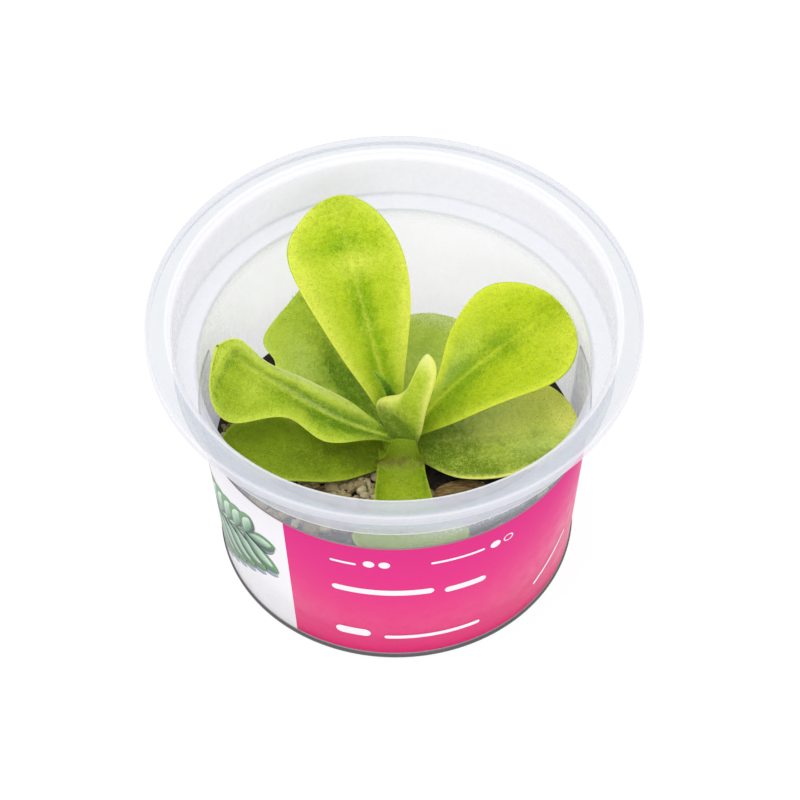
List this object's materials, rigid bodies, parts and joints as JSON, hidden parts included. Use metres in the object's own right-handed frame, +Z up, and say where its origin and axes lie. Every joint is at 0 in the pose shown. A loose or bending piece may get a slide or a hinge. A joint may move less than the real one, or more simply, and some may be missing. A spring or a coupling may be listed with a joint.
{
  "type": "potted butterwort",
  "caption": "Small butterwort with a rosette of broad fleshy leaves, growing in soil in a clear flanged tub with a printed label round its front and sides.",
  "frame": {"origin": "centre of the tub's flat base, on the surface that it stands on", "axes": "+Z up along the tub's axis; the front of the label and the front leaf face -Y; +X is to the right seen from the front"},
  "size_m": [0.101, 0.101, 0.0657],
  "materials": {
    "clear_plastic": "satin",
    "label_print": "satin",
    "soil": "matte",
    "crown": "satin",
    "leaf_back_tall": "satin",
    "leaf_right_upper": "satin",
    "leaf_left_curled": "satin",
    "leaf_back_left": "satin",
    "leaf_back": "satin",
    "leaf_right_lower": "satin",
    "leaf_left_lower": "satin",
    "leaf_front": "satin",
    "leaf_young_centre": "satin",
    "leaf_young_small": "satin"
  },
  "bodies": {
    "root": {"tub": "clear_plastic", "label": "label_print", "soil": "soil", "crown": "crown", "leaf_back_tall": "leaf_back_tall", "leaf_right_upper": "leaf_right_upper", "leaf_left_curled": "leaf_left_curled", "leaf_back_left": "leaf_back_left", "leaf_back": "leaf_back", "leaf_right_lower": "leaf_right_lower", "leaf_left_lower": "leaf_left_lower", "leaf_front": "leaf_front", "leaf_young_centre": "leaf_young_centre", "leaf_young_small": "leaf_young_small"}
  },
  "joints": []
}
